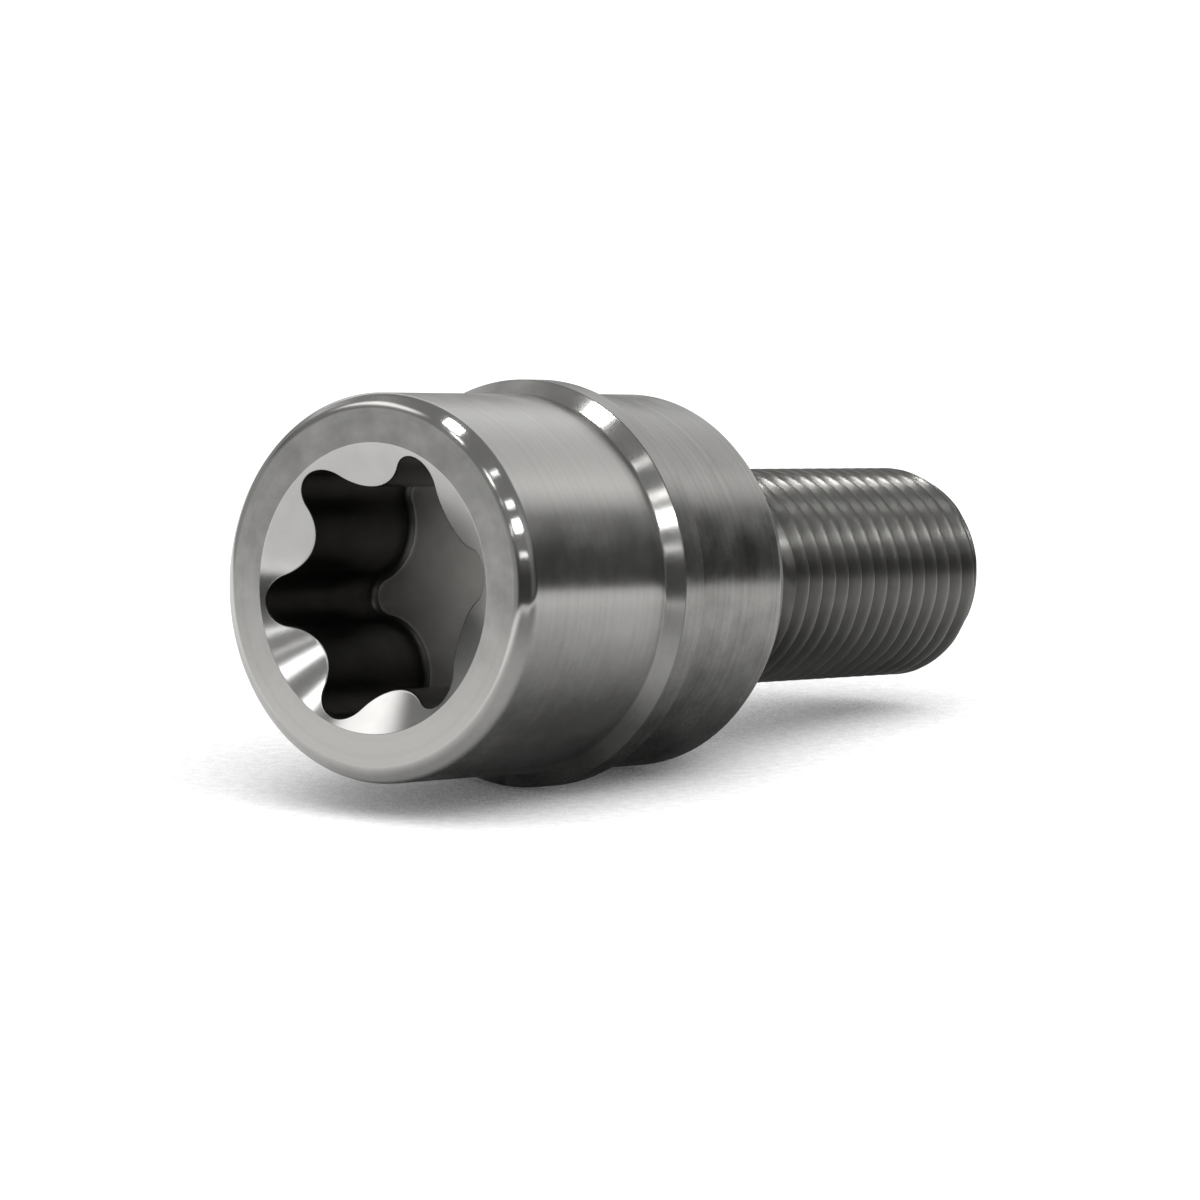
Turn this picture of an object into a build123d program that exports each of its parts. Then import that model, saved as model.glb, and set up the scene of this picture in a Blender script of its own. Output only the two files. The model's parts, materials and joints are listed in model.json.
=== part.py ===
from build123d import *
from math import atan2, cos, degrees, pi, radians, sin, sqrt, tan
import os

# A wheel bolt turned from one bar of metal, standing on its head.
# The origin is the middle of the head's outer face, and +Z runs along the bolt to its threaded tip.
# Sizes are in millimetres and angles in degrees.

# Head: the long round part that the key goes into
head_diameter = 23.4
head_length = 13.75
head_edge_radius = 1.0

# Key socket: six round lobes cut straight down to a flat floor, with a wide countersunk mouth
lobe_count = 6
lobe_outer_diameter = 16.8
lobe_inner_diameter = 12.2
lobe_tip_radius = 1.6
first_lobe_angle = 30.0
socket_depth = 10.4
socket_floor_radius = 0.6
countersink_diameter = 17.4
countersink_angle = 120.0

# Collar: a chamfer that rises from the head, then a narrow land
collar_diameter = 25.2
collar_chamfer_angle = 45.0
collar_land = 1.8
collar_foot_radius = 0.2

# Body: the plain barrel between the collar and the seat
body_diameter = 23.5
body_length = 9.4

# Seat: the ball face that centres the bolt in the wheel, from the body's rim down to the neck.
# The ball is this much larger in radius than the body, which makes it a ball of 13 mm radius.
seat_ball_overhang = 1.25

# Neck and shank: the shank is drawn at the outer diameter of its thread
neck_diameter = 12.2
neck_length = 1.8
thread_diameter = 14.0
shank_length = 25.5
tip_chamfer = 1.2

head_radius = head_diameter / 2
collar_radius = collar_diameter / 2
body_radius = body_diameter / 2
neck_radius = neck_diameter / 2
thread_radius = thread_diameter / 2

# Heights along the bolt, each one stacked on the one before
collar_chamfer_rise = (collar_radius - head_radius) / tan(radians(collar_chamfer_angle))
land_start = head_length + collar_chamfer_rise
land_end = land_start + collar_land
body_end = land_end + body_length

# The ball's middle lies on the axis, behind the body's rim
seat_ball_radius = body_radius + seat_ball_overhang
ball_centre = body_end - sqrt(seat_ball_radius**2 - body_radius**2)
seat_end = ball_centre + sqrt(seat_ball_radius**2 - neck_radius**2)
neck_end = seat_end + neck_length
shank_start = neck_end + thread_radius - neck_radius
bolt_length = seat_end + shank_length

# The lobe tips and the rounds between them run into each other without a corner,
# so the rounds' radius follows from the two diameters and the tips' radius
half_step = pi / lobe_count
tip_centre = lobe_outer_diameter / 2 - lobe_tip_radius
inner_radius = lobe_inner_diameter / 2
round_radius = (
    tip_centre**2 + inner_radius**2 - 2 * tip_centre * inner_radius * cos(half_step) - lobe_tip_radius**2
) / (2 * (lobe_tip_radius - inner_radius + tip_centre * cos(half_step)))
round_centre = inner_radius + round_radius
tip_sweep = degrees(atan2(round_centre * sin(half_step), round_centre * cos(half_step) - tip_centre))
round_sweep = tip_sweep - degrees(half_step)

# Turned outline: face, head, collar, body, ball seat, neck, shank and tip, spun round the axis
with BuildPart() as wheel_bolt:
    with BuildSketch(Plane.XZ):
        with BuildLine():
            Line((0, 0), (head_radius - head_edge_radius, 0))
            RadiusArc((head_radius - head_edge_radius, 0), (head_radius, head_edge_radius), -head_edge_radius)
            Polyline(
                (head_radius, head_edge_radius),
                (head_radius, head_length),
                (collar_radius, land_start),
                (collar_radius, land_end),
                (body_radius, land_end),
                (body_radius, body_end),
            )
            RadiusArc((body_radius, body_end), (neck_radius, seat_end), -seat_ball_radius)
            Polyline(
                (neck_radius, seat_end),
                (neck_radius, neck_end),
                (thread_radius, shank_start),
                (thread_radius, bolt_length - tip_chamfer),
                (thread_radius - tip_chamfer, bolt_length),
                (0, bolt_length),
                (0, 0),
            )
        make_face()
    revolve(axis=Axis.Z)

    # The collar's foot runs into the head with a small fillet
    circles = wheel_bolt.edges().filter_by(GeomType.CIRCLE)
    collar_foot = circles.filter_by(lambda edge: abs(edge.center().Z - head_length) < collar_foot_radius / 2)
    fillet(collar_foot, radius=collar_foot_radius)

    # Key socket: an arc for each lobe tip and one for each round between two tips
    with BuildSketch(Plane.XY):
        with BuildLine():
            for lobe in range(lobe_count):
                tip_angle = first_lobe_angle + lobe * degrees(2 * half_step)
                round_angle = tip_angle + degrees(half_step)
                tip_place = Vector(tip_centre, 0).rotate(Axis.Z, tip_angle)
                round_place = Vector(round_centre, 0).rotate(Axis.Z, round_angle)
                CenterArc(tip_place, lobe_tip_radius, tip_angle - tip_sweep, 2 * tip_sweep)
                CenterArc(round_place, round_radius, round_angle + 180 - round_sweep, 2 * round_sweep)
        make_face()
    extrude(amount=socket_depth, mode=Mode.SUBTRACT)
    floor_edges = wheel_bolt.edges().filter_by_position(Axis.Z, socket_depth, socket_depth)
    fillet(floor_edges, radius=socket_floor_radius)

    # Countersunk mouth, a cone that opens onto the head's face
    countersink_radius = countersink_diameter / 2
    Cone(
        bottom_radius=countersink_radius,
        top_radius=0,
        height=countersink_radius / tan(radians(countersink_angle / 2)),
        align=(Align.CENTER, Align.CENTER, Align.MIN),
        mode=Mode.SUBTRACT,
    )

wheel_bolt.part.label = "wheel_bolt"

os.makedirs("parts", exist_ok=True)
export_step(wheel_bolt.part, "parts/wheel_bolt.step")

print(f"length {bolt_length:.2f} mm, seat ends at {seat_end:.2f} mm, round radius {round_radius:.2f} mm")
print(f"volume {wheel_bolt.part.volume / 1000:.2f} cubic centimetres")
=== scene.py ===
"""Looks of a turned wheel bolt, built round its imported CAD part.

The bolt stands on its head, with its axis on +Z. The camera sees it from below and to one side, turned
so that it looks as it does in the photograph: lying on a white table with the key socket towards the viewer.
"""
import json
from math import asin, atan2, cos, pi, radians, sin, sqrt, tan

import bpy
from mathutils import Matrix, Quaternion, Vector


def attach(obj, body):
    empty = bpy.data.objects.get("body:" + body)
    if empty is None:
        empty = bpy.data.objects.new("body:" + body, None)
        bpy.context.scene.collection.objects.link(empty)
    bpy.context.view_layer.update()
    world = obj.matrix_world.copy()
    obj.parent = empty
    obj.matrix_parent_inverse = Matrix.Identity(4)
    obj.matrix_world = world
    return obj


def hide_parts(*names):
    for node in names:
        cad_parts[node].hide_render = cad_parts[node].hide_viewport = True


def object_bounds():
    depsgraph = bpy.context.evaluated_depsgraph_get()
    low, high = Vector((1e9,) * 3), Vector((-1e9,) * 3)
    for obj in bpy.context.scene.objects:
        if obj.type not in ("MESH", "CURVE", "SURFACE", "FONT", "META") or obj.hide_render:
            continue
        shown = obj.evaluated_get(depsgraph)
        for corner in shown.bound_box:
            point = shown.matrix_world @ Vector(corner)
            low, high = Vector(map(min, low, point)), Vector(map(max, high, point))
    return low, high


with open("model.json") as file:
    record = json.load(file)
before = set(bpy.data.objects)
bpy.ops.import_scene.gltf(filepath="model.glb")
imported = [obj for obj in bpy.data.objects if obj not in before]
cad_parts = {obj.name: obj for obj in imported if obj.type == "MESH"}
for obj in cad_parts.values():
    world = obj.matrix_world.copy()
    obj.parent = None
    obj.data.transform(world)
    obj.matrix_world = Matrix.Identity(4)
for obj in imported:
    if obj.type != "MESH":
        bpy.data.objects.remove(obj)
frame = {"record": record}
cad_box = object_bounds()

MM = 0.001

# Sizes that the frame gives, in millimetres
thread_mount = next(mount for mount in frame["record"]["mounts"] if mount["name"] == "thread")
bolt_length = cad_box[1].z / MM
collar_radius = cad_box[1].x / MM
thread_radius = thread_mount["dims"]["r_mm"]

# Head and key socket, in millimetres and degrees
head_radius = 11.7
head_length = 13.75
head_edge_radius = 1.0
lobe_count = 6
lobe_tip_radius = 1.6
lobe_outer_radius = 8.4
lobe_inner_radius = 6.1
first_lobe_angle = 30.0
socket_depth = 10.4
socket_floor_radius = 0.6
countersink_radius = 8.7
countersink_half_angle = 60.0

# Collar, body and ball seat
collar_chamfer_rise = collar_radius - head_radius
collar_land = 1.8
body_radius = 11.75
body_length = 9.4
seat_ball_radius = 13.0

# Neck and thread, which is M14 with a pitch of 1.5 mm
neck_radius = 6.1
neck_length = 1.8
tip_chamfer = 1.2
thread_pitch = 1.5
thread_depth = thread_radius - neck_radius
thread_crest_share = 0.125
thread_root_share = 0.18
rings_per_pitch = 12

# The head's edge is a narrow flat between two roundings, which together take up the CAD part's radius
edge_flat = 0.7
edge_rounding = (head_edge_radius - edge_flat) / tan(radians(22.5))

# Edges that a turning tool leaves: a collar foot with a fillet, and outer edges broken by a hair
foot_radius = 0.2
broken_edge = 0.12
sharp_edge = 0.04
inner_corner = 0.1
mouth_break = 0.05

# The mesh: vertices round each ring, how close a ring lies to each edge, and how far apart rings lie between
ring_columns = 240
edge_margin = 0.02
ring_spacing = 1.5

# Heights along the bolt
land_start = head_length + collar_chamfer_rise
land_end = land_start + collar_land
body_end = land_end + body_length
ball_centre = body_end - sqrt(seat_ball_radius**2 - body_radius**2)
seat_end = ball_centre + sqrt(seat_ball_radius**2 - neck_radius**2)
neck_end = seat_end + neck_length
shank_start = neck_end + thread_radius - neck_radius

# How the photograph was taken: the bolt's place before the camera, and the table that it lies on
camera_place = Vector((186.37, -88.39, -254.82)) * MM
camera_target = Vector((0.522, 1.084, 22.79)) * MM
camera_up = Vector((-0.40583, -0.91366, 0.02280))
camera_lens = 164.9
table_rise = 8.07

# Light round the bolt as the photograph's reflections show it. Windows: angles above the table, angles
# round from straight ahead to the right, the softness of the edges, all in degrees, and how bright each is.
studio_windows = (
    ((21, 35), (-36, 62), 3, 0.66),
    ((-6, 30), (-34, 58), 4, 0.3),
    ((-8, 14), (-150, -36), 4, 0.3),
    ((33, 52), (-106, -64), 5, 1.55),
    ((-10, 44), (102, 146), 8, 0.1),
)
# Lamps: angle above the table, angle round to the right, half the angle across, and how bright each is.
# Each lamp fades at its rim, over this share of its half angle to either side.
studio_lamps = (
    (76.5, -120.6, 4.5, 30.0),
    (57.7, 174.1, 1.6, 10.0),
    (42.9, 166.5, 2.0, 12.0),
    (33.1, 164.1, 3.0, 26.0),
    (20.4, 162.6, 1.4, 10.0),
    (46.0, -128.0, 3.0, 10.0),
    (37.0, -148.0, 3.0, 9.0),
    (30.5, -154.5, 1.2, 6.0),
    (22.5, -159.5, 1.5, 8.0),
)
lamp_softness = 0.2
# The rest of the room: two angles above the table, in degrees, and how bright it is up to the first and
# past the second. The camera sees plain white instead.
room_light = (10.0, 24.0, 0.05, 0.25)
background_white = 1.1

# White paper: the bolt's own shade on it leans with the light. A lean is how many degrees, and towards
# which side, counted round as the lamps' angle is. The shade leans one way as the bolt mirrors it, and
# another as the camera sees it, because the photograph's background is whitened. Its reach is in millimetres.
mirrored_lean = (27.0, -53.0)
seen_lean = (30.0, 165.0)
shade_reach = 60.0
# The paper's tone, with painted light and shade on it. Each row says where a change starts and ends, and what
# the tone or factor is there. Shades start and end at a share of the light that reaches the paper, and the
# other
# changes at a distance in millimetres: to the right of the contact, from it, or from the middle of the
# painted shadow that the photographer casts in front of the bolt.
mirrored_shade = (0.265, 1.0, 0.01, 0.78)
# Painted light: the paper is drawn lighter on the left, the side of the studio's brightest window
painted_light_on_left = (-110.0, -15.0, 1.45, 1)
right_edge = (200.0, 300.0, 1, 0.1)
far_end = (400.0, 1200.0, 1, 0.4)
# Painted shadow: the photographer's, which dims the paper in front of the bolt
photographer_shadow_middle = (60.0, -100.0, 0.0)
painted_photographer_shadow = (40.0, 130.0, 0.4, 1)
seen_shade = (0.21, 0.85, 0.02, 1.25)

# Paper fibres, drawn coarser than real ones so that they show in the shade, in millimetres, and how much
# lighter or darker they are, as a row of the same kind
fibre_size = 0.8
fibre_tone = (0.35, 0.65, 0.93, 1.07)

# Half the width of a sheet, and how far the floor lies below the bolt so that the two don't touch
paper_half_width = 4000.0
floor_gap = 0.2

# Bare metal: the size of a stain and of a grain of grit, in millimetres, and the grit's depth as a share of
# the tool rings' own. The rings are too fine to show from afar, so bands of about seven carry the colour.
stain_size = 20 / 7
grit_size = 1 / 6
grit_depth_share = 0.3
rings_per_band = 20 / 3

# Finishes, in the order in which they first come along the bolt's outline
FLOOR, SOCKET, COUNTERSINK, FACE, EDGE, TURNED, BODY, THREAD = range(8)


def linear(hex_colour):
    """Turns an sRGB hex colour into the linear colour that a shader takes."""
    shares = [int(hex_colour[place : place + 2], 16) / 255 for place in (1, 3, 5)]
    return [s / 12.92 if s <= 0.04045 else ((s + 0.055) / 1.055) ** 2.4 for s in shares] + [1.0]


def add(tree, kind, *values, into=None, **settings):
    """Adds a node with its settings. Values fill its inputs in order, or by name through into.

    A value is a node, a socket, or what the input itself holds.
    """
    made = tree.nodes.new(kind)
    for name, setting in settings.items():
        setattr(made, name, setting)
    sockets = [socket for socket in made.inputs if socket.enabled]
    pairs = list(zip(sockets, values))
    pairs += [(made.inputs[name], value) for name, value in (into or {}).items()]
    for socket, value in pairs:
        if isinstance(value, bpy.types.Node):
            value = next(output for output in value.outputs if output.enabled)
        if isinstance(value, bpy.types.NodeSocket):
            tree.links.new(value, socket)
        elif value is not None:
            socket.default_value = value
    return made


def round_corner(before, corner, after, radius):
    """Points of the arc that rounds a corner of the outline, more of them where it is wide."""
    steps = 12 if radius > 0.5 else 4
    corner = Vector(corner)
    back = (Vector(before) - corner).normalized()
    ahead = (Vector(after) - corner).normalized()
    half = back.angle(ahead) / 2
    centre = corner + (back + ahead).normalized() * radius / sin(half)
    start = (corner + back * radius / tan(half) - centre).normalized()
    end = (corner + ahead * radius / tan(half) - centre).normalized()
    return [centre + start.slerp(end, step / steps) * radius for step in range(steps + 1)]


def divide(start, end, spacing, margin):
    """Evenly spaced points from start towards end, and one close to each end so that edges shade crisply."""
    length = (end - start).length
    if length < 3 * margin:
        return [start]
    steps = max(1, round((length - 2 * margin) / spacing))
    shares = [0] + [(margin + (length - 2 * margin) * step / steps) / length for step in range(steps + 1)]
    return [start.lerp(end, share) for share in shares]


def socket_stations():
    """The key socket, from the middle of its floor up its wall and out over the countersink."""
    wall_foot = socket_depth - socket_floor_radius
    flat_floor = dict(height=socket_depth, inset=socket_floor_radius, finish=FLOOR)
    stations = [dict(flat_floor, spread=share) for share in (0, 0.25, 0.5, 0.75, 0.97)]
    floor_steps = 7
    for step in range(floor_steps + 1):
        turn = pi / 2 * step / floor_steps
        inset = socket_floor_radius * (1 - sin(turn))
        height = wall_foot + socket_floor_radius * cos(turn)
        stations.append(dict(height=height, inset=inset, finish=FLOOR if step == 0 else SOCKET))
    stations += [dict(height=wall_foot - drop) for drop in (0.12, 1.5, 3.0, 4.5, 6.0, 7.2)]

    # The wall ends where it meets the cone, so the last stations are given by their distance from it.
    # Their edge is broken by a hair, and on the cone they turn from lobed to round.
    stations += [dict(height=0, lift=lift) for lift in (0.35, 0.14, 0.07)]
    stations += [dict(height=0, inset=-0.24 * mouth_break, lift=0.32 * mouth_break)]
    for lobed in (1, 0.95, 0.75, 0.5, 0.25, 0.12, 0.008):
        cone = dict(height=0, radius=countersink_radius, finish=COUNTERSINK)
        stations.append(dict(cone, inset=-mouth_break * lobed, lobed=lobed))
    return [dict(dict(radius=0, lobed=1, finish=SOCKET), **station) for station in stations]


def turned_stations():
    """The turned outline, from the countersink's rim along the bolt to the middle of its tip."""
    ball_start = asin((body_end - ball_centre) / seat_ball_radius)
    ball_stop = asin((seat_end - ball_centre) / seat_ball_radius)
    ball_steps = 14
    ball = []
    for step in range(1, ball_steps):
        turn = ball_start + (ball_stop - ball_start) * step / ball_steps
        ball.append((seat_ball_radius * cos(turn), ball_centre + seat_ball_radius * sin(turn), 0, TURNED))

    # Each corner: radius, height, how far it is rounded, and the finish of what follows it
    corners = [
        (countersink_radius, 0, 0, FACE),
        (head_radius - edge_flat, 0, edge_rounding, EDGE),
        (head_radius, edge_flat, edge_rounding, TURNED),
        (head_radius, head_length, foot_radius, TURNED),
        (collar_radius, land_start, broken_edge, BODY),
        (collar_radius, land_end, sharp_edge, BODY),
        (body_radius, land_end, inner_corner, BODY),
        (body_radius, body_end, broken_edge, TURNED),
        *ball,
        (neck_radius, seat_end, inner_corner, TURNED),
        (neck_radius, neck_end, 0, THREAD),
        (thread_radius, shank_start, 0, THREAD),
        (thread_radius, bolt_length - tip_chamfer, 0, THREAD),
        (thread_radius - tip_chamfer, bolt_length, broken_edge, TURNED),
        (0, bolt_length, 0, TURNED),
    ]
    arcs = []
    for number, (radius, height, rounding, _) in enumerate(corners):
        if rounding:
            before, after = corners[number - 1][:2], corners[number + 1][:2]
            arcs.append(round_corner(before, (radius, height), after, rounding))
        else:
            arcs.append([Vector((radius, height))])

    stations = []
    for arc, following, (_, _, rounding, finish) in zip(arcs, arcs[1:], corners):
        arc_finish = EDGE if rounding == edge_rounding else finish
        stations += [dict(radius=p.x, height=p.y, finish=arc_finish) for p in arc[:-1]]
        spacing = thread_pitch / rings_per_pitch if finish == THREAD else ring_spacing
        for p in divide(arc[-1], following[0], spacing, edge_margin):
            stations.append(dict(radius=p.x, height=p.y, finish=finish, threaded=float(finish == THREAD)))
    stations.append(dict(radius=0, height=bolt_length, finish=TURNED))
    return stations


def outline_object(stations):
    """A chain of vertices, one for each ring of the bolt, with what the tree needs to know of the ring."""
    mesh = bpy.data.meshes.new("bolt outline")
    places = [(s["radius"] * MM, 0, s["height"] * MM) for s in stations]
    mesh.from_pydata(places, [(i, i + 1) for i in range(len(places) - 1)], [])
    layers = (("lobed", 1, 0), ("inset", MM, 0), ("lift", MM, 0), ("spread", 1, 1), ("threaded", 1, 0))
    for name, unit, usual in layers:
        layer = mesh.attributes.new(name, "FLOAT", "POINT")
        layer.data.foreach_set("value", [s.get(name, usual) * unit for s in stations])
    layer = mesh.attributes.new("finish", "INT", "POINT")
    layer.data.foreach_set("value", [s["finish"] for s in stations])
    outline = bpy.data.objects.new("bolt outline", mesh)
    bpy.context.scene.collection.objects.link(outline)
    return outline


def bolt_tree(sizes, finishes):
    """Spins the outline round the axis, with the socket's lobes and the shank's thread."""
    tree = bpy.data.node_groups.new("turned bolt with key socket and thread", "GeometryNodeTree")
    tree.interface.new_socket(name="Outline", in_out="INPUT", socket_type="NodeSocketGeometry")
    for name, value in sizes.items():
        kind = "NodeSocketInt" if isinstance(value, int) else "NodeSocketFloat"
        tree.interface.new_socket(name=name, in_out="INPUT", socket_type=kind)
    tree.interface.new_socket(name="Bolt", in_out="OUTPUT", socket_type="NodeSocketGeometry")
    given = add(tree, "NodeGroupInput").outputs

    # A grid holds the rings: the index of a vertex tells its ring and its column
    index = add(tree, "GeometryNodeInputIndex")
    row_length = add(tree, "FunctionNodeIntegerMath", given["Columns"], 1, operation="ADD")
    grid = add(tree, "GeometryNodeMeshGrid", 1, 1, given["Rings"], row_length)
    ring = add(tree, "FunctionNodeIntegerMath", index, row_length, operation="DIVIDE_FLOOR")
    column = add(tree, "FunctionNodeIntegerMath", index, row_length, operation="MODULO")

    # What the outline says of this ring
    place = add(tree, "GeometryNodeInputPosition")
    sampled = add(tree, "GeometryNodeSampleIndex", given["Outline"], place, ring, data_type="FLOAT_VECTOR")
    place = add(tree, "ShaderNodeSeparateXYZ", sampled)
    radius, height = place.outputs["X"], place.outputs["Z"]
    told = {}
    for name in ("lobed", "inset", "lift", "spread", "threaded"):
        value = add(tree, "GeometryNodeInputNamedAttribute", name, data_type="FLOAT")
        told[name] = add(tree, "GeometryNodeSampleIndex", given["Outline"], value, ring, data_type="FLOAT")

    # The column's place on the lobe outline: first a lobe's tip, then the round that leads to the next tip
    turn = add(tree, "ShaderNodeMath", column, given["Lobes"], operation="MULTIPLY")
    turn = add(tree, "ShaderNodeMath", turn, given["Columns"], operation="DIVIDE")
    lobe = add(tree, "ShaderNodeMath", turn, operation="FLOOR")
    share = add(tree, "ShaderNodeMath", turn, operation="FRACT")
    on_tip = add(tree, "ShaderNodeMath", share, 0.5, operation="LESS_THAN")

    quarter = add(tree, "ShaderNodeMath", share, 4, -1, operation="MULTIPLY_ADD")
    tip_turn = add(tree, "ShaderNodeMath", quarter, given["Lobe tip sweep"], operation="MULTIPLY")
    tip_radius = add(tree, "ShaderNodeMath", given["Lobe tip radius"], told["inset"], operation="SUBTRACT")
    tip_along = add(tree, "ShaderNodeMath", tip_turn, operation="COSINE")
    tip_across = add(tree, "ShaderNodeMath", tip_turn, operation="SINE")
    tip_centre = given["Lobe tip centre"]
    tip_x = add(tree, "ShaderNodeMath", tip_along, tip_radius, tip_centre, operation="MULTIPLY_ADD")
    tip_y = add(tree, "ShaderNodeMath", tip_across, tip_radius, operation="MULTIPLY")
    tip_point = add(tree, "ShaderNodeCombineXYZ", tip_x, tip_y, 0)

    # The round's middle lies half a step on from the tip, and its arc faces the axis
    half_step = add(tree, "ShaderNodeMath", pi, given["Lobes"], operation="DIVIDE")
    quarter = add(tree, "ShaderNodeMath", share, -4, 3, operation="MULTIPLY_ADD")
    round_turn = add(tree, "ShaderNodeMath", quarter, given["Round sweep"], operation="MULTIPLY")
    round_radius = add(tree, "ShaderNodeMath", given["Round radius"], told["inset"], operation="ADD")
    round_along = add(tree, "ShaderNodeMath", round_turn, operation="COSINE")
    round_across = add(tree, "ShaderNodeMath", round_turn, operation="SINE")
    inward = add(tree, "ShaderNodeMath", round_along, round_radius, operation="MULTIPLY")
    round_x = add(tree, "ShaderNodeMath", given["Round centre"], inward, operation="SUBTRACT")
    round_y = add(tree, "ShaderNodeMath", round_across, round_radius, operation="MULTIPLY")
    round_y = add(tree, "ShaderNodeMath", round_y, -1, operation="MULTIPLY")
    round_point = add(tree, "ShaderNodeCombineXYZ", round_x, round_y, 0)
    round_point = add(
        tree, "ShaderNodeVectorRotate", round_point, (0, 0, 0), half_step, rotation_type="Z_AXIS"
    )
    lobe_point = add(tree, "ShaderNodeMix", on_tip, round_point, tip_point, data_type="VECTOR")

    step = add(tree, "ShaderNodeMath", half_step, 2, operation="MULTIPLY")
    lobe_turn = add(tree, "ShaderNodeMath", lobe, step, given["First lobe angle"], operation="MULTIPLY_ADD")
    lobe_point = add(tree, "ShaderNodeVectorRotate", lobe_point, (0, 0, 0), lobe_turn, rotation_type="Z_AXIS")
    direction = add(tree, "ShaderNodeVectorMath", lobe_point, operation="NORMALIZE")
    lobe_point = add(tree, "ShaderNodeVectorMath", lobe_point, told["spread"], operation="SCALE")

    # A right-hand thread: its groove climbs one pitch for each turn, and its flanks stand 60 degrees apart
    across = add(tree, "ShaderNodeSeparateXYZ", direction).outputs
    angle = add(tree, "ShaderNodeMath", across["Y"], across["X"], operation="ARCTAN2")
    turns = add(tree, "ShaderNodeMath", angle, 2 * pi, operation="DIVIDE")
    pitches = add(tree, "ShaderNodeMath", height, given["Thread pitch"], operation="DIVIDE")
    phase = add(tree, "ShaderNodeMath", pitches, turns, operation="SUBTRACT")
    phase = add(tree, "ShaderNodeMath", phase, operation="FRACT")
    phase = add(tree, "ShaderNodeMath", phase, 2, -1, operation="MULTIPLY_ADD")
    from_root = add(tree, "ShaderNodeMath", phase, operation="ABSOLUTE")
    crest = add(tree, "ShaderNodeMath", 1, given["Thread crest share"], operation="SUBTRACT")
    groove = add(
        tree, "ShaderNodeMapRange", from_root, given["Thread root share"], crest, given["Thread depth"], 0
    )
    thread_limit = add(tree, "ShaderNodeMath", given["Thread radius"], groove, operation="SUBTRACT")
    cut = add(tree, "ShaderNodeMath", radius, thread_limit, operation="SUBTRACT")
    cut = add(tree, "ShaderNodeMath", cut, 0, operation="MAXIMUM")
    cut = add(tree, "ShaderNodeMath", cut, told["threaded"], operation="MULTIPLY")
    radius = add(tree, "ShaderNodeMath", radius, cut, operation="SUBTRACT")

    # A ring is round, lobed or, on the countersink, between the two, and there the cone sets its height
    round_ring = add(tree, "ShaderNodeVectorMath", direction, radius, operation="SCALE")
    flat_place = add(tree, "ShaderNodeMix", told["lobed"], round_ring, lobe_point, data_type="VECTOR")
    distance = add(tree, "ShaderNodeVectorMath", flat_place, operation="LENGTH")
    cone_height = add(tree, "ShaderNodeMath", given["Countersink radius"], distance, operation="SUBTRACT")
    cone_height = add(tree, "ShaderNodeMath", cone_height, given["Countersink slope"], operation="MULTIPLY")
    height = add(tree, "ShaderNodeMath", height, cone_height, operation="MAXIMUM")
    height = add(tree, "ShaderNodeMath", height, told["lift"], operation="ADD")
    flat_parts = add(tree, "ShaderNodeSeparateXYZ", flat_place)
    place = add(tree, "ShaderNodeCombineXYZ", flat_parts.outputs["X"], flat_parts.outputs["Y"], height)
    shaped = add(tree, "GeometryNodeSetPosition", grid.outputs["Mesh"], into={"Position": place})

    # Each face keeps the finish of its ring, then the seam and the two poles are closed
    face_ring = add(tree, "FunctionNodeIntegerMath", index, given["Columns"], operation="DIVIDE_FLOOR")
    finish = add(tree, "GeometryNodeInputNamedAttribute", "finish", data_type="INT")
    finish = add(tree, "GeometryNodeSampleIndex", given["Outline"], finish, face_ring, data_type="INT")
    marked = add(
        tree,
        "GeometryNodeStoreNamedAttribute",
        shaped,
        into={"Name": "finish", "Value": finish},
        data_type="INT",
        domain="FACE",
    )
    closed = add(tree, "GeometryNodeMergeByDistance", marked, into={"Distance": 0.0001 * MM})
    outward = add(tree, "GeometryNodeFlipFaces", closed)
    smooth = add(tree, "GeometryNodeSetShadeSmooth", outward)
    result = add(tree, "GeometryNodeRealizeInstances", smooth)
    result = add(tree, "GeometryNodeSetMaterial", result, None, finishes[0])
    for number, material in enumerate(finishes[1:], 1):
        value = add(tree, "GeometryNodeInputNamedAttribute", "finish", data_type="INT")
        chosen = add(tree, "FunctionNodeCompare", value, number, data_type="INT", operation="EQUAL")
        result = add(tree, "GeometryNodeSetMaterial", result, chosen, material)
    add(tree, "NodeGroupOutput", result)
    return tree


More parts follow.
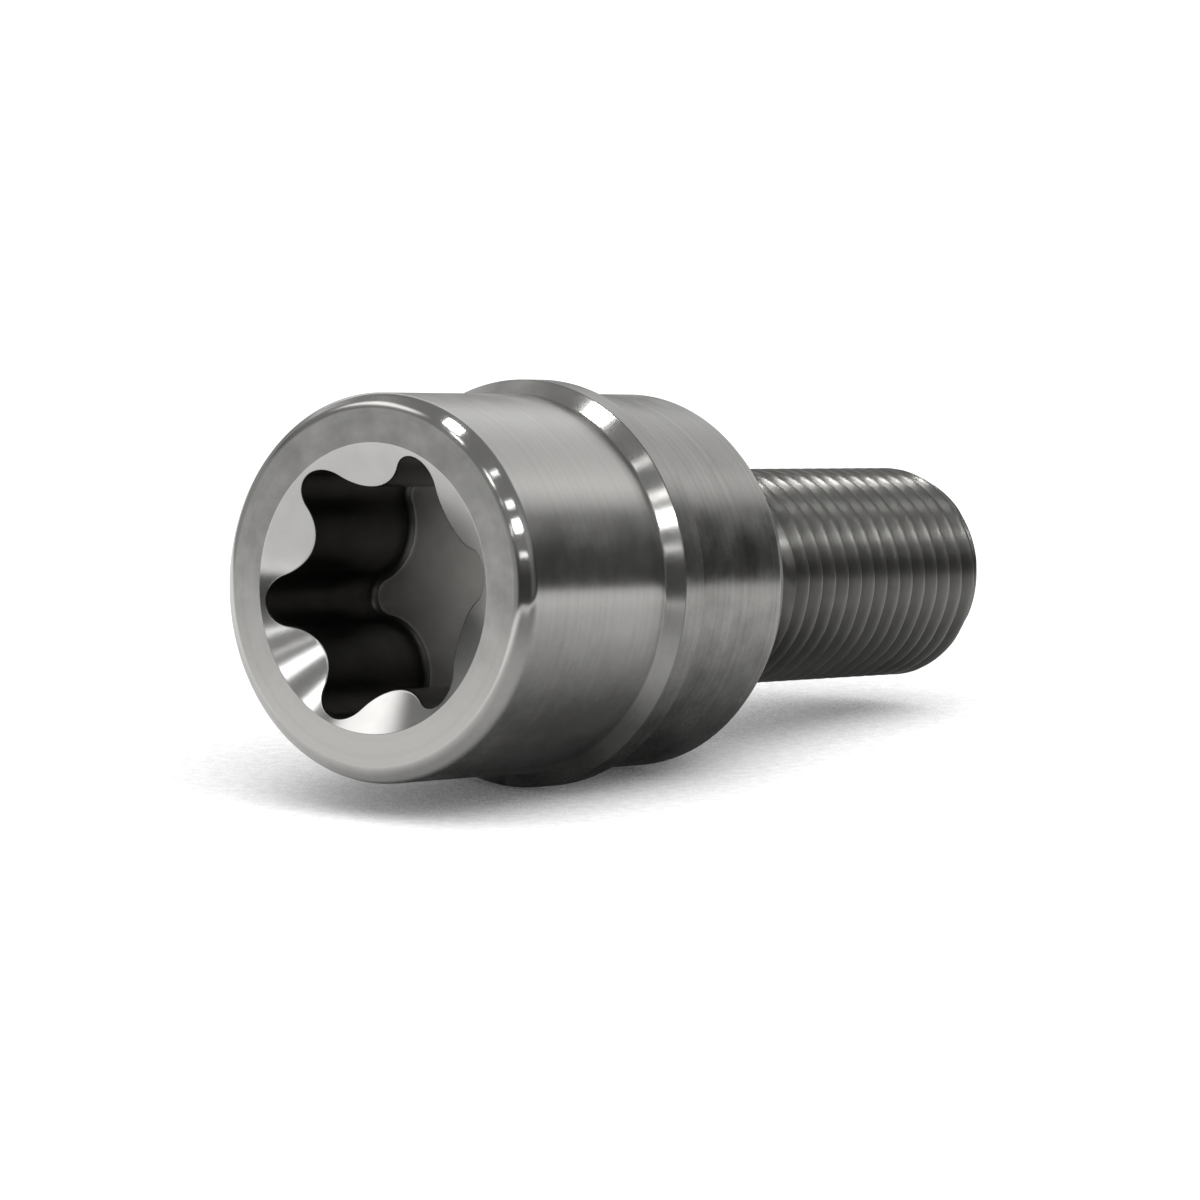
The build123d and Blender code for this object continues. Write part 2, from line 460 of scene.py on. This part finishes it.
def make_bolt(finishes):
    """The whole bolt as one closed mesh."""
    half_step = pi / lobe_count
    tip_centre = lobe_outer_radius - lobe_tip_radius
    reach = tip_centre * cos(half_step)
    round_radius = (
        tip_centre**2 + lobe_inner_radius**2 - 2 * lobe_inner_radius * reach - lobe_tip_radius**2
    ) / (2 * (lobe_tip_radius - lobe_inner_radius + reach))
    round_centre = lobe_inner_radius + round_radius
    tip_sweep = atan2(round_centre * sin(half_step), round_centre * cos(half_step) - tip_centre)

    stations = socket_stations() + turned_stations()
    sizes = {
        "Rings": len(stations),
        "Columns": ring_columns,
        "Lobes": lobe_count,
        "First lobe angle": radians(first_lobe_angle),
        "Lobe tip radius": lobe_tip_radius * MM,
        "Lobe tip centre": tip_centre * MM,
        "Lobe tip sweep": tip_sweep,
        "Round radius": round_radius * MM,
        "Round centre": round_centre * MM,
        "Round sweep": tip_sweep - half_step,
        "Countersink radius": countersink_radius * MM,
        "Countersink slope": 1 / tan(radians(countersink_half_angle)),
        "Thread radius": thread_radius * MM,
        "Thread depth": thread_depth * MM,
        "Thread pitch": thread_pitch * MM,
        "Thread crest share": thread_crest_share,
        "Thread root share": thread_root_share,
    }
    outline = outline_object(stations)
    tree = bolt_tree(sizes, finishes)
    modifier = outline.modifiers.new("bolt", "NODES")
    modifier.node_group = tree
    for item in tree.interface.items_tree:
        if item.item_type == "SOCKET" and item.name in sizes:
            modifier[item.identifier] = sizes[item.name]

    bpy.context.view_layer.update()
    evaluated = outline.evaluated_get(bpy.context.evaluated_depsgraph_get())
    mesh = bpy.data.meshes.new_from_object(evaluated)
    mesh.name = "wheel bolt looks"
    outline.modifiers.remove(modifier)
    bpy.data.objects.remove(outline)
    bolt = bpy.data.objects.new("turned_wheel_bolt", mesh)
    bpy.context.scene.collection.objects.link(bolt)
    return bolt


def bare_metal(name, colours, roughness, ring_width, ring_depth, mottle=0.0, grain=0.0):
    """Bare titanium alloy. Rings left by the tool follow the turned surface, and stains lie loosely on it.

    The rings' width and depth are in millimetres. Mottle is how much the stains change the roughness, and
    grain is how far the rings draw each highlight out across them.
    """
    material = bpy.data.materials.new(name)
    material.use_nodes = True
    tree = material.node_tree
    tree.nodes.clear()
    place = add(tree, "ShaderNodeTexCoord").outputs["Object"]
    place = add(tree, "ShaderNodeVectorMath", place, 1 / MM, operation="SCALE")
    flat = add(tree, "ShaderNodeVectorMath", place, (1, 1, 0), operation="MULTIPLY")
    from_axis = add(tree, "ShaderNodeVectorMath", flat, operation="LENGTH")
    height = add(tree, "ShaderNodeSeparateXYZ", place).outputs["Z"]
    along = add(tree, "ShaderNodeMath", from_axis, height, operation="ADD")

    rings = add(tree, "ShaderNodeTexNoise", along, 1 / ring_width, 3, 0.6, noise_dimensions="1D")
    band_scale = 1 / (rings_per_band * ring_width)
    bands = add(tree, "ShaderNodeTexNoise", along, band_scale, 2, 0.5, noise_dimensions="1D")
    stains = add(tree, "ShaderNodeTexNoise", place, 1 / stain_size, 5, 0.6, noise_dimensions="3D")
    grit = add(tree, "ShaderNodeTexNoise", place, 1 / grit_size, 2, 0.5, noise_dimensions="3D")

    # The colour follows the stains and, less, the bands
    shade = add(tree, "ShaderNodeMath", bands, 0.25, stains, operation="MULTIPLY_ADD")
    shade = add(tree, "ShaderNodeMapRange", shade, 0.4, 0.85, 0, 1)
    colour = add(tree, "ShaderNodeMix", shade, linear(colours[0]), linear(colours[1]), data_type="RGBA")

    # Stains dull the metal, and the rings and the grit on them break its surface
    wear = add(tree, "ShaderNodeMapRange", stains, 0.35, 0.7, roughness - mottle, roughness + mottle)
    bump = add(
        tree,
        "ShaderNodeBump",
        into={"Strength": 1.0, "Distance": ring_depth * MM, "Height": rings},
    )
    grit_depth = grit_depth_share * ring_depth
    bump = add(
        tree,
        "ShaderNodeBump",
        into={"Strength": 1.0, "Distance": grit_depth * MM, "Height": grit, "Normal": bump},
    )
    around = add(tree, "ShaderNodeTangent", direction_type="RADIAL", axis="Z")
    metal = add(
        tree,
        "ShaderNodeBsdfPrincipled",
        into={
            "Base Color": colour,
            "Metallic": 1.0,
            "Roughness": wear,
            "Normal": bump,
            "Anisotropic": grain,
            "Anisotropic Rotation": 0.25,
            "Tangent": around,
        },
    )
    add(tree, "ShaderNodeOutputMaterial", metal)
    return material


def shade_from(tree, lean):
    """How much of the light from one side reaches the paper past the bolt."""
    lean = add(tree, "ShaderNodeCombineXYZ", *lean)
    shade = add(
        tree, "ShaderNodeAmbientOcclusion", into={"Distance": shade_reach * MM, "Normal": lean}, samples=4
    )
    return shade.outputs["AO"]


def white_paper(name, mirrored, seen):
    """White paper that shows from its front only. The camera sees it whiter than the bolt mirrors it."""
    material = bpy.data.materials.new(name)
    material.use_nodes = True
    tree = material.node_tree
    tree.nodes.clear()

    # As the bolt mirrors it: painted shade beside the bolt, painted light on the left, the photographer's
    # painted shadow in front, dim far away, and gone past its right edge
    place = add(tree, "ShaderNodeTexCoord").outputs["Object"]
    place = add(tree, "ShaderNodeVectorMath", place, 1 / MM, operation="SCALE")
    rightward = add(tree, "ShaderNodeSeparateXYZ", place).outputs["X"]
    away = add(tree, "ShaderNodeVectorMath", place, operation="LENGTH").outputs["Value"]
    # Distance from the middle of the photographer's painted shadow
    from_photographer_shadow = add(tree, "ShaderNodeVectorMath", place, photographer_shadow_middle, operation="DISTANCE")
    changes = (
        (shade_from(tree, mirrored), mirrored_shade),
        (rightward, painted_light_on_left),
        (rightward, right_edge),
        (away, far_end),
        (from_photographer_shadow.outputs["Value"], painted_photographer_shadow),
    )
    tone = 1
    for measure, change in changes:
        factor = add(tree, "ShaderNodeMapRange", measure, *change, interpolation_type="SMOOTHSTEP")
        tone = add(tree, "ShaderNodeMath", tone, factor, operation="MULTIPLY")
    mirror_image = add(tree, "ShaderNodeEmission", linear("#ffffff"), tone)

    # As the camera sees it: white but for the shade, in which its fibres show
    tone = add(tree, "ShaderNodeMapRange", shade_from(tree, seen), *seen_shade)
    fibres = add(tree, "ShaderNodeTexNoise", place, 1 / fibre_size, 4, 0.7, noise_dimensions="3D")
    fibres = add(tree, "ShaderNodeMapRange", fibres, *fibre_tone)
    tone = add(tree, "ShaderNodeMath", tone, fibres, operation="MULTIPLY")
    picture = add(tree, "ShaderNodeEmission", linear("#ffffff"), tone)

    camera_ray = add(tree, "ShaderNodeLightPath").outputs["Is Camera Ray"]
    front = add(tree, "ShaderNodeMixShader", camera_ray, mirror_image, picture)
    behind = add(tree, "ShaderNodeBsdfTransparent")
    facing = add(tree, "ShaderNodeNewGeometry").outputs["Backfacing"]
    surface = add(tree, "ShaderNodeMixShader", facing, front, behind)
    add(tree, "ShaderNodeOutputMaterial", surface)
    return material


def make_plane(name, middle, normal, sideways, material, mirrored):
    """A large flat square of paper, which the bolt mirrors or not."""
    mesh = bpy.data.meshes.new(name)
    reach = paper_half_width * MM
    corners = [(x * reach, y * reach, 0) for x, y in ((-1, -1), (1, -1), (1, 1), (-1, 1))]
    mesh.from_pydata(corners, [], [(0, 1, 2, 3)])
    mesh.materials.append(material)
    plane = bpy.data.objects.new(name, mesh)
    bpy.context.scene.collection.objects.link(plane)
    turn = Matrix((sideways, normal.cross(sideways), normal)).transposed()
    plane.matrix_world = Matrix.Translation(middle) @ turn.to_4x4()
    plane.visible_diffuse = plane.visible_transmission = plane.visible_shadow = False
    plane.visible_glossy = mirrored
    return plane


def make_camera():
    """The photograph's view."""
    data = bpy.data.cameras.new("photo camera")
    data.lens = camera_lens
    data.clip_start, data.clip_end = 0.01, 50
    camera = bpy.data.objects.new("photo camera", data)
    bpy.context.scene.collection.objects.link(camera)
    ahead = (camera_target - camera_place).normalized()
    right = ahead.cross(camera_up).normalized()
    up = right.cross(ahead)
    turn = Matrix((right, up, -ahead)).transposed()
    camera.matrix_world = Matrix.Translation(camera_place) @ turn.to_4x4()
    bpy.context.scene.camera = camera
    return right, up


def window(tree, rise, turn, rises, turns, soft, brightness):
    """A window of light between two angles of rise and two of turn, which fades over its soft edge."""
    light = brightness
    for angle, (low, high) in ((rise, rises), (turn, turns)):
        opens = add(
            tree, "ShaderNodeMapRange", angle, low - soft, low + soft, 0, 1, interpolation_type="SMOOTHSTEP"
        )
        closes = add(
            tree, "ShaderNodeMapRange", angle, high - soft, high + soft, 1, 0, interpolation_type="SMOOTHSTEP"
        )
        open_part = add(tree, "ShaderNodeMath", opens, closes, operation="MULTIPLY")
        light = add(tree, "ShaderNodeMath", light, open_part, operation="MULTIPLY")
    return light


def make_world(right, up, back):
    """Studio light, in angles above the table and round from straight ahead. The camera sees plain white."""
    world = bpy.data.worlds.new("white studio")
    world.use_nodes = True
    tree = world.node_tree
    tree.nodes.clear()
    toward = add(tree, "ShaderNodeTexCoord").outputs["Generated"]
    rise = add(tree, "ShaderNodeVectorMath", toward, tuple(up), operation="DOT_PRODUCT")
    rise = add(tree, "ShaderNodeMath", rise, operation="ARCSINE")
    rise = add(tree, "ShaderNodeMath", rise, operation="DEGREES")
    rightward = add(tree, "ShaderNodeVectorMath", toward, tuple(right), operation="DOT_PRODUCT")
    onward = add(tree, "ShaderNodeVectorMath", toward, tuple(-back), operation="DOT_PRODUCT")
    turn = add(tree, "ShaderNodeMath", rightward, onward, operation="ARCTAN2")
    turn = add(tree, "ShaderNodeMath", turn, operation="DEGREES")

    # The room is dim at table height and lighter above
    light = add(tree, "ShaderNodeMapRange", rise, *room_light, interpolation_type="SMOOTHSTEP")
    for rises, turns, soft, brightness in studio_windows:
        added = window(tree, rise, turn, rises, turns, soft, brightness)
        light = add(tree, "ShaderNodeMath", light, added, operation="ADD")
    for lamp_rise, lamp_turn, half_angle, brightness in studio_lamps:
        sideways = cos(radians(lamp_rise)) * sin(radians(lamp_turn))
        ahead = cos(radians(lamp_rise)) * cos(radians(lamp_turn))
        lamp = up * sin(radians(lamp_rise)) + right * sideways - back * ahead
        near = add(tree, "ShaderNodeVectorMath", toward, tuple(lamp), operation="DOT_PRODUCT")
        outer = cos(radians((1 + lamp_softness) * half_angle))
        inner = cos(radians((1 - lamp_softness) * half_angle))
        added = add(tree, "ShaderNodeMapRange", near, outer, inner, 0, brightness)
        light = add(tree, "ShaderNodeMath", light, added, operation="ADD")
    lit = add(tree, "ShaderNodeBackground", linear("#ffffff"), light)
    seen = add(tree, "ShaderNodeBackground", linear("#ffffff"), background_white)
    camera_ray = add(tree, "ShaderNodeLightPath").outputs["Is Camera Ray"]
    both = add(tree, "ShaderNodeMixShader", camera_ray, lit, seen)
    add(tree, "ShaderNodeOutputWorld", both)
    bpy.context.scene.world = world


# Bare titanium alloy, as each tool leaves it: warm grey and never quite clean. What each gives the eye:
# Broached walls: torn a little by the tool and dull, and painted dark with the shade that fills the deep
# socket
socket_wall_painted_shade = bare_metal("socket wall titanium alloy painted dark as shade", ("#4c4b49", "#5a5957"), 0.35, 0.3, 0.002)
# Milled floor: grey, with a wide soft sheen
milled = bare_metal("milled titanium socket floor", ("#c0beba", "#d2d0cc"), 0.5, 0.3, 0.002)
# Countersink: smooth and bright, with streaks of light drawn out from the axis
countersunk = bare_metal("countersunk titanium alloy", ("#cbcac8", "#d6d5d3"), 0.2, 0.15, 0.0002, grain=0.9)
# Face: satin, with faint rings round the axis and soft stains
faced = bare_metal(
    "faced titanium alloy", ("#b9b8b5", "#cbcac7"), 0.16, 0.12, 0.00015, mottle=0.03, grain=0.4
)
# Edge of the head: polished, so that each lamp shows as a small bright spot
edged = bare_metal(
    "polished edge of titanium alloy", ("#bdbcb9", "#c9c8c5"), 0.15, 0.15, 0.00001, grain=1.0
)
# Head, chamfer, seat, neck and tip: turned, satin, with light in bands along them and fine rings round them
turned = bare_metal(
    "turned titanium alloy", ("#b9b8b5", "#cccbc8"), 0.22, 0.07, 0.00015, mottle=0.03, grain=0.85
)
# Body and the collar's land: turned the same, but duller and uneven from handling
handled = bare_metal(
    "handled titanium alloy", ("#908f8c", "#bbbab7"), 0.24, 0.07, 0.00015, mottle=0.05, grain=0.8
)
# Thread: rolled, darker than the rest outside, with its highlights drawn out along the bolt
rolled = bare_metal("rolled titanium thread", ("#8b8a87", "#9a9996"), 0.34, 0.2, 0.0005, grain=0.9)

bolt = make_bolt([milled, socket_wall_painted_shade, countersunk, faced, edged, turned, handled, rolled])
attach(bolt, "root")
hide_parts("wheel_bolt")

right, up = make_camera()
tilt = Quaternion(right, radians(table_rise))
table_up = tilt @ up
table_back = right.cross(table_up)

# The table touches the collar's back edge
down = Vector((-table_up.x, -table_up.y, 0)).normalized()
contact = down * collar_radius * MM + Vector((0, 0, land_end * MM))
leans = []
for lean, turn in (mirrored_lean, seen_lean):
    side = sin(radians(turn)) * right - cos(radians(turn)) * table_back
    leans.append(cos(radians(lean)) * table_up + sin(radians(lean)) * side)
table_paper = white_paper("white paper of the table", *leans)
make_plane("table", contact, table_up, right, table_paper, True)
upright = Vector((0, 0, 1))
floor_paper = white_paper("white paper of the floor", upright, upright)
make_plane("floor", -floor_gap * MM * upright, upright, Vector((1, 0, 0)), floor_paper, False)
make_world(right, table_up, table_back)

bpy.context.scene.view_settings.view_transform = "Standard"
